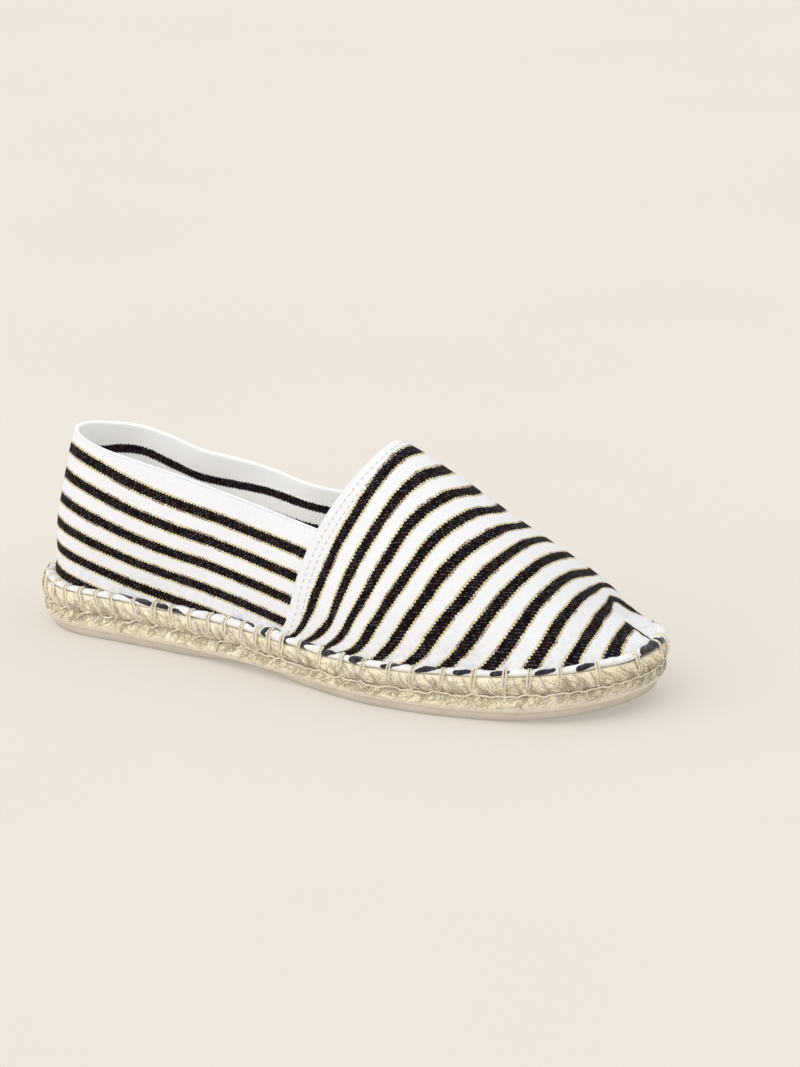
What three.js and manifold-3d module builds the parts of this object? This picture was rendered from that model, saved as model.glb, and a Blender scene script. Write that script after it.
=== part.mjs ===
// A flat espadrille for the right foot, as a three.js scene graph: a rubber outsole, a braided jute sole,
// an insole, a hollow canvas upper with its rolled hem, and the front panel that laps over the upper.
// Millimetres. The toe points along +X, the medial side is +Y, +Z is up, and the shoe stands on z = 0.
import * as THREE from 'three';
import { mergeVertices } from 'three/addons/utils/BufferGeometryUtils.js';
import Module from 'manifold-3d';

const wasm = await Module();
wasm.setup();

// Sizes of the sole
const soleLength = 254;
const ballWidth = 88;
const heelRadius = 31; // the round back of the outline
const toeRound = 52; // how far from the tip the toe starts to close
const toeFullness = 2.15; // 2 is an ellipse, more is squarer
const rubberThickness = 4;
const juteThickness = 13;
const insoleThickness = 2;
const insoleInset = 2; // from the inside of the upper's foot
const toeSpring = 5.5; // how far the tip of the sole stands off the floor
const archRise = 2.4; // how far the waist stands off the floor
const archFrom = 0.27; // shares of the length from the heel
const archTo = 0.55;
const springFrom = 0.76;
const jointGap = 0.3; // between pieces that are glued or sewn face to face

// Insets of the sole's sides from its outline
const rubberEdgeRound = 0.9;
const rubberTopInset = 2.6;
const rubberFootInset = 3.6;
const juteFootInset = 2.4;
const juteLowerInset = 0.9; // the lower row of strands
const juteGrooveInset = 1.8; // between the two rows
const juteTopInset = 1.2;
const ribDepth = 0.9; // the notches between strands
const ribPitch = 6;

// Sizes of the upper, heights being above the sole's top
const ledge = 6.5; // from the sole's outline to the inside of the upper's foot
const canvasThickness = 1.4;
const heelHeight = 61;
const sideHeight = 50; // the collar halfway along the opening
const cornerHeight = 41; // where the collar meets the front panel
const instepHeight = 70; // the middle of the throat
const frontPanelFoot = 124; // where the front panel's rear edge meets the sole, from the heel
const hemWidth = 5; // of the rolled hem
const hemHeight = 3.4;
const hemInset = 0.7; // from the sole's outline to the roll

// How finely the surfaces are cut
const stationCount = 34;
const hoopCount = 22;
const edgeCount = 36; // along each side of a sole or hem
const rollSides = 8;
const ribSteps = 3; // points for each notch of the jute

// The sole along its length from the heel: half widths as shares of the ball's width, and how far its top
// rises over or sinks under its height at the heel, as a share of its thickness.
const outlineRows = [
  { at: 0.0, lateral: 0.35, medial: 0.345, rise: 0.02 },
  { at: 0.12, lateral: 0.342, medial: 0.343, rise: 0.0 },
  { at: 0.25, lateral: 0.346, medial: 0.32, rise: -0.03 },
  { at: 0.38, lateral: 0.378, medial: 0.29, rise: -0.06 },
  { at: 0.5, lateral: 0.442, medial: 0.34, rise: -0.12 },
  { at: 0.62, lateral: 0.512, medial: 0.44, rise: -0.13 },
  { at: 0.72, lateral: 0.503, medial: 0.475, rise: -0.08 },
  { at: 0.82, lateral: 0.448, medial: 0.52, rise: 0.0 },
  { at: 0.92, lateral: 0.408, medial: 0.532, rise: 0.13 },
  { at: 1.0, lateral: 0.367, medial: 0.517, rise: 0.26 },
];

// The upper's hoops: height of the closed form over the sole as a share of the instep's height, how far
// the hoop's top leans forward as a share of its own height, and how far the crest is off the middle
// as a share of the ball's width.
const hoopRows = [
  { at: 0.0, height: 1.09, lean: 0.17, crest: 0.0 },
  { at: 0.12, height: 1.02, lean: 0.19, crest: 0.0 },
  { at: 0.25, height: 0.96, lean: 0.25, crest: 0.005 },
  { at: 0.38, height: 0.98, lean: 0.32, crest: 0.01 },
  { at: 0.488, height: 1.0, lean: 0.366, crest: 0.017 },
  { at: 0.585, height: 0.872, lean: 0.34, crest: 0.02 },
  { at: 0.683, height: 0.695, lean: 0.312, crest: 0.02 },
  { at: 0.78, height: 0.494, lean: 0.281, crest: 0.018 },
  { at: 0.877, height: 0.28, lean: 0.219, crest: 0.01 },
  { at: 0.974, height: 0.1, lean: 0.0, crest: 0.0 },
  { at: 1.0, height: 0.07, lean: 0.0, crest: 0.0 },
];
const noseLength = 31; // the toe's dome closes over this length

const soleTop = rubberThickness + jointGap + juteThickness;
const canvasFoot = jointGap; // the upper's foot, over the sole's top
const frontPanelGap = canvasThickness + jointGap;

// A column of a table at a share of the length, smoothly between its rows.
function column(rows, name, at) {
  const last = rows.length - 1;
  const place = Math.min(Math.max(at, rows[0].at), rows[last].at);
  let i = 0;
  while (i < last - 1 && rows[i + 1].at <= place) i++;
  const slope = (k) => {
    const before = rows[Math.max(k - 1, 0)];
    const after = rows[Math.min(k + 1, last)];
    return (after[name] - before[name]) / (after.at - before.at);
  };
  const span = rows[i + 1].at - rows[i].at;
  const t = (place - rows[i].at) / span;
  return (
    (2 * t ** 3 - 3 * t ** 2 + 1) * rows[i][name] +
    (t ** 3 - 2 * t ** 2 + t) * span * slope(i) +
    (3 * t ** 2 - 2 * t ** 3) * rows[i + 1][name] +
    (t ** 3 - t ** 2) * span * slope(i + 1)
  );
}

// A share from 0 to 1 that rises as a quarter of an ellipse over a length.
function rounded(distance, length, fullness = 2) {
  const share = Math.min(Math.max(1 - distance / length, 0), 1);
  return (1 - share ** fullness) ** (1 / fullness);
}

// How far the sole's underside rises towards the toe, and how far its top does.
function springAt(x) {
  return toeSpring * Math.max((x / soleLength - springFrom) / (1 - springFrom), 0) ** 2;
}

function topSpringAt(x) {
  return (rubberThickness + juteThickness) * column(outlineRows, 'rise', x / soleLength);
}

function archAt(x) {
  const share = (x / soleLength - archFrom) / (archTo - archFrom);
  return share > 0 && share < 1 ? archRise * Math.sin(Math.PI * share) ** 2 : 0;
}

// One side of the sole's outline, moved inwards: side is -1 for lateral and 1 for medial. Its own
// parameter runs from the heel to the toe and is finer at both ends.
class SideCurve extends THREE.Curve {
  constructor(side, inset) {
    super();
    this.side = side;
    this.inset = inset;
    this.arcLengthDivisions = 400;
  }

  getPoint(share, target = new THREE.Vector3()) {
    const inner = soleLength - 2 * this.inset;
    const along = (inner * (1 - Math.cos(Math.PI * share))) / 2;
    const at = (along + this.inset) / soleLength;
    const lateral = column(outlineRows, 'lateral', at) * ballWidth - this.inset;
    const medial = column(outlineRows, 'medial', at) * ballWidth - this.inset;
    const closing =
      rounded(along, heelRadius - this.inset) *
      rounded(inner - along, toeRound - this.inset, toeFullness);
    const middle = (medial - lateral) / 2;
    const half = ((medial + lateral) / 2) * closing;
    return target.set(along + this.inset, middle + this.side * half, 0);
  }
}

// Both sides of an outline at an inset, heel to toe, at equal steps.
function edges(inset, count) {
  return [-1, 1].map((side) => new SideCurve(side, inset).getSpacedPoints(count));
}

// A closed solid from a list of corners and triangles: like corners are merged, and flat triangles dropped.
function solidOf(corners, triangles) {
  const loose = new THREE.BufferGeometry()
    .setAttribute('position', new THREE.Float32BufferAttribute(corners.flatMap((p) => p.toArray()), 3))
    .setIndex(triangles.flat());
  return solidOfGeometry(loose);
}

function solidOfGeometry(geometry) {
  const bare = new THREE.BufferGeometry().setAttribute('position', geometry.getAttribute('position'));
  bare.setIndex(geometry.index);
  const merged = mergeVertices(bare, 1e-3);
  const index = merged.index.array;
  const kept = [];
  for (let i = 0; i < index.length; i += 3) {
    const [a, b, c] = index.subarray(i, i + 3);
    if (a !== b && b !== c && c !== a) kept.push(a, b, c);
  }
  return new wasm.Manifold(
    new wasm.Mesh({
      numProp: 3,
      vertProperties: merged.getAttribute('position').array,
      triVerts: Uint32Array.from(kept),
    }),
  );
}

function geometryOf(solid) {
  const mesh = solid.getMesh();
  const geometry = new THREE.BufferGeometry()
    .setAttribute('position', new THREE.BufferAttribute(mesh.vertProperties, 3))
    .setIndex(new THREE.BufferAttribute(mesh.triVerts, 1));
  geometry.computeVertexNormals();
  return geometry;
}

// Rings of outline points stacked on one another. Each level has an inset and a height, which may
// depend on the place along the edge. A tube's last level joins its first, and other stacks are capped.
function stackedEdges(levels, count, tube = false) {
  const corners = [];
  const triangles = [];
  for (const level of levels) {
    const [lateral, medial] = edges(level.inset, count);
    const ring = [...lateral, ...medial.slice(1, -1).reverse()];
    ring.forEach((point, i) => {
      const fromHeel = i <= count ? i : 2 * count - i;
      corners.push(level.place ? level.place(point, fromHeel) : point.setZ(level.height(point.x)));
    });
  }
  const around = 2 * count;
  const corner = (level, i) => (level % levels.length) * around + ((i + around) % around);
  for (let level = 0; level < levels.length - (tube ? 0 : 1); level++) {
    for (let i = 0; i < around; i++) {
      triangles.push([corner(level, i), corner(level, i + 1), corner(level + 1, i + 1)]);
      triangles.push([corner(level, i), corner(level + 1, i + 1), corner(level + 1, i)]);
    }
  }
  if (!tube) {
    for (const [level, up] of [[0, false], [levels.length - 1, true]]) {
      for (let i = 0; i < count; i++) {
        const quad = [corner(level, i), corner(level, i + 1), corner(level, -i - 1), corner(level, -i)];
        const faces = [[quad[0], quad[1], quad[2]], [quad[0], quad[2], quad[3]]];
        triangles.push(...faces.map((face) => (up ? face : face.reverse())));
      }
    }
  }
  return solidOf(corners, triangles);
}

// The upper's hoop over the sole at a station from the heel, 0, to the toe, 1, of the last grown by a wall.
function hoopAt(station, grown) {
  const inset = ledge - grown;
  const lateral = new SideCurve(-1, inset).getPoint(station);
  const medial = new SideCurve(1, inset).getPoint(station);
  const at = lateral.x / soleLength;
  const nose = rounded(soleLength - inset - lateral.x, noseLength);
  const height = column(hoopRows, 'height', at) * instepHeight * nose + grown;
  const closing = (medial.y - lateral.y) / ballWidth;
  return {
    x: lateral.x,
    lateral: lateral.y,
    medial: medial.y,
    crest: (lateral.y + medial.y) / 2 + column(hoopRows, 'crest', at) * closing * ballWidth,
    height,
    lean: column(hoopRows, 'lean', at) * height,
  };
}

// A point of a hoop, from its lateral foot at angle 0 over the crest to its medial foot at angle PI.
function hoopPoint(hoop, angle) {
  const side = Math.cos(angle) > 0 ? hoop.lateral : hoop.medial;
  const rise = Math.sin(angle);
  const y = hoop.crest + (side - hoop.crest) * Math.abs(Math.cos(angle));
  const z = soleTop + canvasFoot + topSpringAt(hoop.x) + hoop.height * rise;
  return new THREE.Vector3(hoop.x + hoop.lean * rise ** 2, y, z);
}

// The last as a closed solid, grown by a wall. Its foot reaches straight down by a skirt's depth.
function lastForm(grown, skirt) {
  const corners = [];
  const triangles = [];
  for (let i = 0; i <= stationCount; i++) {
    const hoop = hoopAt(i / stationCount, grown);
    const arch = Array.from({ length: hoopCount + 1 }, (_, j) => hoopPoint(hoop, (Math.PI * j) / hoopCount));
    const down = new THREE.Vector3(0, 0, -skirt);
    corners.push(arch[0].clone().add(down), ...arch, arch[hoopCount].clone().add(down));
  }
  const ring = hoopCount + 3;
  for (let i = 0; i < stationCount; i++) {
    for (let j = 0; j < ring; j++) {
      const [a, b] = [i * ring + j, i * ring + ((j + 1) % ring)];
      triangles.push([a, a + ring, b + ring], [a, b + ring, b]);
    }
  }
  for (const [first, flip] of [[0, false], [stationCount * ring, true]]) {
    for (let j = 1; j < ring - 1; j++) {
      const face = [first, first + j, first + j + 1];
      triangles.push(flip ? face.reverse() : face);
    }
  }
  return solidOf(corners, triangles);
}

// A side view outline pushed right through the shoe.
function sideCutter(points) {
  const depth = 3 * ballWidth;
  const shape = new THREE.Shape(points.map(([x, z]) => new THREE.Vector2(x, z)));
  const geometry = new THREE.ExtrudeGeometry(shape, { depth, bevelEnabled: false });
  geometry.rotateX(Math.PI / 2).translate(0, depth / 2, 0);
  return solidOfGeometry(geometry);
}

// The front panel's rear edge in the side view, as [x, height over the sole's top], from a height up to the
// hoop's crest, and straight up from there.
function rearEdge(from, to, steps = 8) {
  const hoop = hoopAt(frontPanelStation(), canvasThickness);
  return Array.from({ length: steps + 1 }, (_, i) => {
    const height = from + ((to - from) * i) / steps;
    return [hoop.x + hoop.lean * Math.min(height / hoop.height, 1) ** 2, height];
  });
}

// The station whose hoop stands at the front panel's foot.
function frontPanelStation() {
  const inset = ledge - canvasThickness;
  const share = (frontPanelFoot - inset) / (soleLength - 2 * inset);
  return Math.acos(1 - 2 * share) / Math.PI;
}

const overEverything = heelHeight + 2 * instepHeight;

// The opening: over the collar's line from behind the heel to the corner, and behind the front panel.
function openingCutter() {
  const corner = rearEdge(cornerHeight, cornerHeight, 1)[0];
  const collar = new THREE.QuadraticBezierCurve(
    new THREE.Vector2(-ledge, heelHeight + (heelHeight - sideHeight) * (ledge / corner[0])),
    new THREE.Vector2(corner[0] / 2, 2 * sideHeight - (heelHeight + cornerHeight) / 2),
    new THREE.Vector2(...corner),
  );
  const points = [
    [-ledge, overEverything],
    ...collar.getPoints(10).slice(0, -1).map((p) => [p.x, p.y]),
    ...rearEdge(cornerHeight, overEverything, 24),
  ];
  return sideCutter(points.map(([x, height]) => [x, height + soleTop]));
}

// All that lies forward of the front panel's rear edge and over the rolled hem.
function frontPanelRegion() {
  const foot = canvasFoot + hemHeight + jointGap;
  const hem = [];
  const edge = rearEdge(foot, overEverything, 24);
  const start = edge[0][0];
  for (let x = soleLength + ledge; x > start; x -= 12) hem.push([x, foot + topSpringAt(x)]);
  return sideCutter(
    [...hem, ...edge, [soleLength + ledge, overEverything]].map(([x, height]) => [x, height + soleTop]),
  );
}

function outsole() {
  const under = (x) => archAt(x) + springAt(x);
  return stackedEdges(
    [
      { inset: rubberFootInset + rubberEdgeRound, height: under },
      { inset: rubberFootInset, height: (x) => under(x) + rubberEdgeRound },
      { inset: rubberTopInset, height: (x) => springAt(x) + rubberThickness },
    ],
    edgeCount,
  );
}

// The jute's side has two rows of strands that slant against each other, so its notches form a braid.
function juteSole() {
  const count = Math.round(new SideCurve(-1, 0).getLength() / ribPitch) * ribSteps;
  const rows = [
    { share: 0, inset: juteFootInset, notch: 0, slant: 0.5 },
    { share: 0.27, inset: juteLowerInset, notch: 1, slant: 0.25 },
    { share: 0.5, inset: juteGrooveInset, notch: 0.5, slant: 0 },
    { share: 0.75, inset: 0, notch: 1, slant: 0.25 },
    { share: 1, inset: juteTopInset, notch: 0, slant: 0.5 },
  ];
  const foot = rubberThickness + jointGap;
  return stackedEdges(
    rows.map(({ share, inset, notch, slant }) => ({
      inset,
      place: (point, fromHeel) => {
        const turn = (fromHeel / ribSteps + slant) * 2 * Math.PI;
        const depth = notch * ribDepth * (0.5 - 0.5 * Math.cos(turn));
        const middle = new THREE.Vector3(THREE.MathUtils.clamp(point.x, heelRadius, soleLength - toeRound), 0, 0);
        const inwards = middle.sub(point).setZ(0).normalize();
        const spring = THREE.MathUtils.lerp(springAt(point.x), topSpringAt(point.x), share);
        return point.addScaledVector(inwards, depth).setZ(foot + share * juteThickness + spring);
      },
    })),
    count,
  );
}

function insole() {
  const inset = ledge + insoleInset;
  const level = (height) => ({ inset, height: (x) => soleTop + height + topSpringAt(x) });
  return stackedEdges([level(jointGap), level(jointGap + insoleThickness)], edgeCount);
}

// The hem is turned out and rolled on the sole's edge, all round.
function rolledHem() {
  const [across, up] = [hemWidth / 2, hemHeight / 2];
  const levels = Array.from({ length: rollSides }, (_, i) => {
    const angle = (2 * Math.PI * i) / rollSides;
    return {
      inset: hemInset + across - across * Math.cos(angle),
      height: (x) => soleTop + canvasFoot + up + up * Math.sin(angle) + topSpringAt(x),
    };
  });
  return stackedEdges(levels, edgeCount, true);
}

function upper() {
  const wall = lastForm(canvasThickness, 0).subtract(lastForm(0, canvasThickness));
  return wall.subtract(openingCutter()).add(rolledHem());
}

function frontPanel() {
  const skin = lastForm(frontPanelGap + canvasThickness, 0).subtract(lastForm(frontPanelGap, canvasThickness));
  return skin.intersect(frontPanelRegion());
}

const pieces = [
  { name: 'outsole', solid: outsole(), color: 0xb9ac9a, roughness: 0.7 },
  { name: 'jute_sole', solid: juteSole(), color: 0xcbb894, roughness: 0.95 },
  { name: 'insole', solid: insole(), color: 0xe4dccb, roughness: 0.9 },
  { name: 'upper', solid: upper(), color: 0xf1efea, roughness: 0.9 },
  { name: 'front_panel', solid: frontPanel(), color: 0x2a2a30, roughness: 0.9 },
];

const shoe = new THREE.Group();
for (const { name, solid, color, roughness } of pieces) {
  const material = new THREE.MeshStandardMaterial({ color, roughness, metalness: 0 });
  const mesh = new THREE.Mesh(geometryOf(solid), material);
  mesh.name = name;
  shoe.add(mesh);
}

// The part's origin is on the floor, under the middle of the whole shoe.
const middle = new THREE.Box3().setFromObject(shoe).getCenter(new THREE.Vector3());
shoe.position.set(-middle.x, -middle.y, 0);

export default shoe;
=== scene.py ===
"""A striped canvas espadrille for the right foot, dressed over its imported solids. Sizes are millimetres in
the part's own frame, where x runs from the heel's edge and z from the floor: make_mesh makes them metres."""

import math

import bpy
import numpy as np
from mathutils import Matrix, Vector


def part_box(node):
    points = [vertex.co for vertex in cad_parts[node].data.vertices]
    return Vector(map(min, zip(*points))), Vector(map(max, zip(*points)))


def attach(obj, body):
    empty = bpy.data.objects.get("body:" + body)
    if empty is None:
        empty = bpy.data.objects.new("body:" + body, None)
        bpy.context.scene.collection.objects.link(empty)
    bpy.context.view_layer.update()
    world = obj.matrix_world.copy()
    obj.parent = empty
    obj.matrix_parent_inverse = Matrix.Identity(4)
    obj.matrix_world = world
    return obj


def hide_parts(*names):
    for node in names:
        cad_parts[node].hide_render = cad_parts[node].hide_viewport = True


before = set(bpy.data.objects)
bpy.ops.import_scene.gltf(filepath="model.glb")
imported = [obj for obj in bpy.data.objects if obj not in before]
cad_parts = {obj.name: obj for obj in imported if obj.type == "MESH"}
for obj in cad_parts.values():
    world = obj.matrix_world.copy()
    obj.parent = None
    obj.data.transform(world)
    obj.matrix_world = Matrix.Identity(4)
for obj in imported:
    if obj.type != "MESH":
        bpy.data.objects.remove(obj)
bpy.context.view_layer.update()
random = np.random.default_rng(11)

# Sizes of the sole and the last, as in the solids
SOLE_LENGTH = 254.0
BALL_WIDTH = 88.0
HEEL_RADIUS = 31.0
TOE_ROUND = 52.0
TOE_FULLNESS = 2.15
RUBBER = 4.0
JUTE = 13.0
TOE_SPRING = 5.5
ARCH_RISE = 2.4
ARCH_FROM, ARCH_TO, SPRING_FROM = 0.27, 0.55, 0.76
GAP = 0.3
LEDGE = 6.5
CANVAS = 1.4
HEEL_HEIGHT = 61.0
SIDE_HEIGHT = 50.0
CORNER_HEIGHT = 41.0
INSTEP_HEIGHT = 70.0
PANEL_FOOT = 124.0
NOSE_LENGTH = 31.0
HEM_WIDTH = 5.0
HEM_HEIGHT = 3.4
HEM_INSET = 0.7
RUBBER_TOP_INSET = 2.6
SOLE_TOP = RUBBER + GAP + JUTE

OUTLINE = {
    "at": (0.0, 0.12, 0.25, 0.38, 0.5, 0.62, 0.72, 0.82, 0.92, 1.0),
    "lateral": (0.35, 0.342, 0.346, 0.378, 0.442, 0.512, 0.503, 0.448, 0.408, 0.367),
    "medial": (0.345, 0.343, 0.32, 0.29, 0.34, 0.44, 0.475, 0.52, 0.532, 0.517),
    "rise": (0.02, 0.0, -0.03, -0.06, -0.12, -0.13, -0.08, 0.0, 0.13, 0.26),
}
HOOPS = {
    "at": (0.0, 0.12, 0.25, 0.38, 0.488, 0.585, 0.683, 0.78, 0.877, 0.974, 1.0),
    "height": (1.09, 1.02, 0.96, 0.98, 1.0, 0.872, 0.695, 0.494, 0.28, 0.1, 0.07),
    "lean": (0.17, 0.19, 0.25, 0.32, 0.366, 0.34, 0.312, 0.281, 0.219, 0.0, 0.0),
    "crest": (0.0, 0.0, 0.005, 0.01, 0.017, 0.02, 0.02, 0.018, 0.01, 0.0, 0.0),
}


def column(rows, name, at):
    """A column of a table at shares of the length, smoothly between its rows."""
    x, y = np.array(rows["at"]), np.array(rows[name])
    last = len(x) - 1
    before, after = np.maximum(np.arange(last + 1) - 1, 0), np.minimum(np.arange(last + 1) + 1, last)
    slope = (y[after] - y[before]) / (x[after] - x[before])
    at = np.clip(at, x[0], x[-1])
    i = np.clip(np.searchsorted(x, at, side="right") - 1, 0, last - 1)
    span = x[i + 1] - x[i]
    t = (at - x[i]) / span
    return (
        (2 * t**3 - 3 * t**2 + 1) * y[i]
        + (t**3 - 2 * t**2 + t) * span * slope[i]
        + (3 * t**2 - 2 * t**3) * y[i + 1]
        + (t**3 - t**2) * span * slope[i + 1]
    )


def bell(away, width):
    """Falls smoothly from 1 at no distance, past 0.37 at the width."""
    return np.exp(-((away / width) ** 2))


def unit(value):
    """A value kept from 0 to 1."""
    return np.clip(value, 0, 1)


def rounded(distance, length, fullness=2.0):
    return (1 - unit(1 - distance / length) ** fullness) ** (1 / fullness)


def spring(x):
    return TOE_SPRING * np.maximum((x / SOLE_LENGTH - SPRING_FROM) / (1 - SPRING_FROM), 0) ** 2


def arch(x):
    share = unit((x / SOLE_LENGTH - ARCH_FROM) / (ARCH_TO - ARCH_FROM))
    return ARCH_RISE * np.sin(np.pi * share) ** 2


def sole_top(x):
    return SOLE_TOP + (RUBBER + JUTE) * column(OUTLINE, "rise", x / SOLE_LENGTH)


def side_curve(side, inset, share):
    """Points of one side of the sole's outline, moved inwards: side is -1 for lateral and 1 for medial."""
    inner = SOLE_LENGTH - 2 * inset
    along = inner * (1 - np.cos(np.pi * share)) / 2
    at = (along + inset) / SOLE_LENGTH
    lateral = column(OUTLINE, "lateral", at) * BALL_WIDTH - inset
    medial = column(OUTLINE, "medial", at) * BALL_WIDTH - inset
    closing = rounded(along, HEEL_RADIUS - inset) * rounded(inner - along, TOE_ROUND - inset, TOE_FULLNESS)
    return along + inset, (medial - lateral) / 2 + side * (medial + lateral) / 2 * closing


def hoop(station, grown):
    """The upper's hoops at stations from the heel, 0, to the toe, 1, of the last grown by a wall."""
    inset = LEDGE - grown
    x, lateral = side_curve(-1, inset, station)
    _, medial = side_curve(1, inset, station)
    at = x / SOLE_LENGTH
    nose = rounded(SOLE_LENGTH - inset - x, NOSE_LENGTH)
    height = column(HOOPS, "height", at) * INSTEP_HEIGHT * nose + grown
    crest = (lateral + medial) / 2 + column(HOOPS, "crest", at) * (medial - lateral)
    return x, lateral, medial, crest, height, column(HOOPS, "lean", at) * height


def shift_of_cad():
    """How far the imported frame's origin lies from the heel's edge and the sole's middle line."""
    share = np.linspace(0, 1, 4001)
    x, lateral = side_curve(-1, RUBBER_TOP_INSET, share)
    _, medial = side_curve(1, RUBBER_TOP_INSET, share)
    low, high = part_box("outsole")
    middle = (low + high) / 2 * 1000
    return np.array([(x[0] + x[-1]) / 2 - middle.x, (lateral.min() + medial.max()) / 2 - middle.y, 0.0])


SHIFT = shift_of_cad()

# Meshes


def grid_faces(rows, columns, wrap_rows=False, wrap_columns=False, start=0):
    i = np.arange(rows if wrap_rows else rows - 1)
    j = np.arange(columns if wrap_columns else columns - 1)
    i, j = np.meshgrid(i, j, indexing="ij")
    i2, j2 = (i + 1) % rows, (j + 1) % columns
    quads = np.stack([i * columns + j, i * columns + j2, i2 * columns + j2, i2 * columns + j], -1)
    return quads.reshape(-1, 4) + start


def placed(name, data):
    """A new object of the scene."""
    obj = bpy.data.objects.new(name, data)
    bpy.context.scene.collection.objects.link(obj)
    return obj


def make_mesh(name, points, faces, material, values=None):
    """A smooth mesh object from points in millimetres, faces of one size and named values for each point."""
    points = np.asarray(points, float).reshape(-1, 3)
    mesh = bpy.data.meshes.new(name)
    mesh.vertices.add(len(points))
    mesh.vertices.foreach_set("co", ((points - SHIFT) * 0.001).astype(np.float32).ravel())
    mesh.loops.add(faces.size)
    mesh.loops.foreach_set("vertex_index", faces.astype(np.int32).ravel())
    mesh.polygons.add(len(faces))
    mesh.polygons.foreach_set("loop_start", (np.arange(len(faces)) * faces.shape[1]).astype(np.int32))
    mesh.polygons.foreach_set("use_smooth", np.full(len(faces), True))
    for key, value in (values or {}).items():
        attribute = mesh.attributes.new(key, "FLOAT", "POINT")
        attribute.data.foreach_set("value", np.asarray(value, np.float32).ravel())
    mesh.update(calc_edges=True)
    mesh.validate()
    mesh.materials.append(material)
    return placed(name, mesh)


def travelled(path):
    """The distance along a path at each of its points."""
    return np.r_[0, np.cumsum(np.linalg.norm(np.diff(path, axis=0), axis=1))]


def between(at, places, values):
    """Rows of values, each known at its own place, at places between them."""
    return np.stack([np.interp(at, places, track) for track in values.T], -1)


def frames_along(path):
    """Two directions across a path of points, turning as little as they can."""
    tangent = np.gradient(path, axis=0)
    tangent /= np.maximum(np.linalg.norm(tangent, axis=1, keepdims=True), 1e-9)
    first = np.zeros_like(path)
    guess = np.array([0.0, 0.0, 1.0]) if abs(tangent[0][2]) < 0.8 else np.array([1.0, 0.0, 0.0])
    for i, t in enumerate(tangent):
        guess = guess - t * guess.dot(t)
        guess /= max(np.linalg.norm(guess), 1e-9)
        first[i] = guess
    return first, np.cross(tangent, first)


def threads(name, material, paths, radii, sides, closed=False):
    """Round threads along paths; radii has a number or an array for each path."""
    points, faces, runs, turns, start = [], [], [], [], 0
    angle = np.arange(sides) * 2 * np.pi / sides
    for path, radius in zip(paths, radii):
        n = len(path)
        first, second = frames_along(path)
        radius = np.broadcast_to(radius, (n,))[:, None, None]
        ring = first[:, None] * np.cos(angle)[None, :, None] + second[:, None] * np.sin(angle)[None, :, None]
        points.append((path[:, None] + ring * radius).reshape(-1, 3))
        faces.append(grid_faces(n, sides, closed, True, start))
        runs.append(np.repeat(travelled(path), sides))
        turns.append(np.tile(angle, n))
        start += n * sides
    values = {"run": np.concatenate(runs), "turn": np.concatenate(turns)}
    return make_mesh(name, np.concatenate(points), np.concatenate(faces), material, values)


def smooth_path(points, count):
    """A smooth path through a few points."""
    n = len(points)
    t = np.linspace(0, n - 1, count)
    i = np.clip(t.astype(int), 0, n - 2)
    f = (t - i)[:, None]
    p0, p1, p2, p3 = (points[np.clip(i + k, 0, n - 1)] for k in (-1, 0, 1, 2))
    return 0.5 * (
        2 * p1 + (p2 - p0) * f + (2 * p0 - 5 * p1 + 4 * p2 - p3) * f**2 + (3 * p1 - p0 - 3 * p2 + p3) * f**3
    )


# The sole's edge, as a ring from the heel


class Edge:
    """The sole's outline as a ring: heel, lateral side, toe, medial side. Its u is millimetres along it."""

    def __init__(self, dense=6000):
        share = np.linspace(0, 1, dense)
        lateral = np.stack(side_curve(-1, 0, share), -1)
        medial = np.stack(side_curve(1, 0, share), -1)[::-1]
        self.ring = np.concatenate([lateral, medial[1:]])
        self.u = travelled(self.ring)
        self.length = self.u[-1]
        self.toe = self.u[dense - 1]

    def xy(self, u):
        return between(np.mod(u, self.length), self.u, self.ring)

    def x(self, u):
        return self.xy(u)[..., 0]

    def from_heel(self, u):
        """Millimetres from the heel, by the nearer side."""
        u = np.mod(u, self.length)
        return np.minimum(u, self.length - u)

    def place(self, u, inset, z):
        """Points at u along the ring, moved in by inset, at height z."""
        along = self.xy(u + 1.0) - self.xy(u - 1.0)
        along /= np.linalg.norm(along, axis=-1, keepdims=True)
        inwards = np.stack([-along[..., 1], along[..., 0]], -1)
        flat = self.xy(u) + inwards * np.asarray(inset)[..., None]
        return np.concatenate([flat, np.broadcast_to(z, flat.shape[:-1])[..., None]], -1)


edge = Edge()


def paired_steps(count):
    """Places along the ring in pairs across the shoe: lateral from heel to toe, then medial to the heel."""
    lateral = np.linspace(0, edge.toe, count + 1)
    medial = np.linspace(edge.toe, edge.length, count + 1)[1:-1]
    return np.concatenate([lateral, medial])


def block(name, levels, material, values=None):
    """A closed block between rings of paired steps, from the lowest up."""
    rows, around = levels.shape[:2]
    i = np.arange(around // 2)
    across = np.stack([i, i + 1, (around - i - 1) % around, (around - i) % around], -1)
    faces = [grid_faces(rows, around, wrap_columns=True), across[:, ::-1], across + (rows - 1) * around]
    return make_mesh(name, levels, np.concatenate(faces), material, values)


# Blanket stitches: millimetres along the edge from the heel, on the lateral side. The medial side has the
# same, and one more lies just past the tip of the toe.
LATERAL_STITCHES = (
    7, 15, 23, 31, 38.5, 46, 53, 60, 70, 79.5, 87, 95.5, 104, 112, 120, 127, 133.5, 140, 148, 158.5, 168.5,
    178.5, 189, 198.5, 210, 221.5, 233, 242, 253, 267, 284,
)
TOE_STITCH = 299.5
STITCHES = np.array(sorted([*LATERAL_STITCHES, TOE_STITCH, *(edge.length - u for u in LATERAL_STITCHES)]))
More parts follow.
